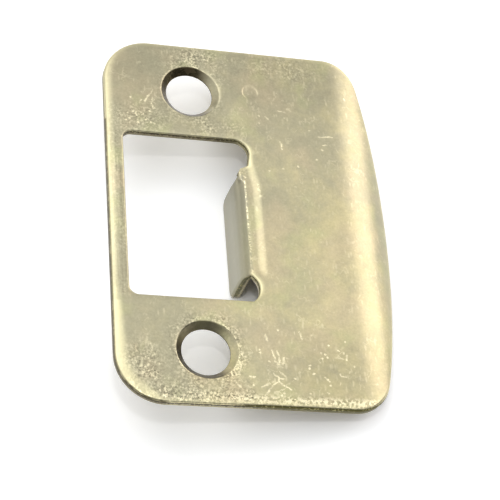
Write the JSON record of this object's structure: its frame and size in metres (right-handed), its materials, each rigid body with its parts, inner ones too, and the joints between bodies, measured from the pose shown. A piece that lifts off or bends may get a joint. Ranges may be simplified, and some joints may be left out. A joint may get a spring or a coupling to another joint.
{
  "type": "door strike plate",
  "caption": "Full-lip strike plate for a door latch: countersunk screw holes, a latch opening with a bent adjusting tab, and a curved lip.",
  "frame": {"origin": "midway between the two screw holes, on the plate's back face", "axes": "+Z out of the front face, +Y along the plate's length through both screw holes, +X from the screw line towards the curved lip"},
  "size_m": [0.0412, 0.0572, 0.008],
  "materials": {
    "plate": "antique brass, brushed and clear-lacquered, with burnished speckles and bright worn edges"
  },
  "bodies": {
    "root": {"strike_plate": "plate"}
  },
  "joints": []
}
